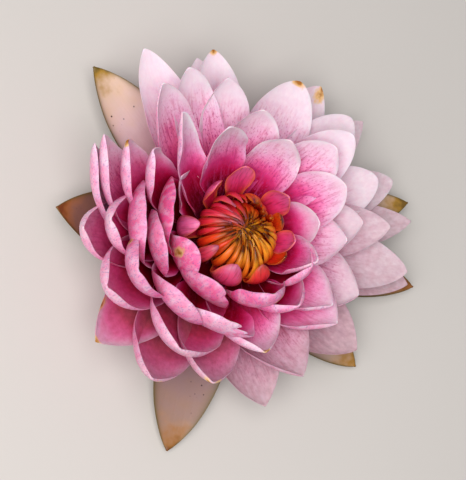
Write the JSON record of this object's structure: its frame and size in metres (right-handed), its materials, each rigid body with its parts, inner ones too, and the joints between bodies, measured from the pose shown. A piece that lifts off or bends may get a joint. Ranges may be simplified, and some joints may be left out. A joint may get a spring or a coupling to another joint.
{
  "type": "water lily flower",
  "caption": "Open double water lily bloom with boat-shaped petals in layers around strap-like stamens, cut below its calyx.",
  "frame": {"origin": "middle of the flat cut under the calyx, where the stalk was cut", "axes": "+Z along the flower's axis, from the cut up through the stigma; +X towards the side whose petals lie open widest"},
  "size_m": [0.1455, 0.1429, 0.0634],
  "materials": {
    "sepals": "satin plant skin, brown-green outside and mauve-brown inside",
    "petals": "satin petal skin, magenta at the base to near white at the tips",
    "stamens": "satin petal skin, orange with dark red bases",
    "stigma": "moist plant skin, dull yellow"
  },
  "bodies": {
    "root": {"sepals": "sepals", "petals": "petals", "stamens": "stamens", "stigma": "stigma"}
  },
  "joints": []
}
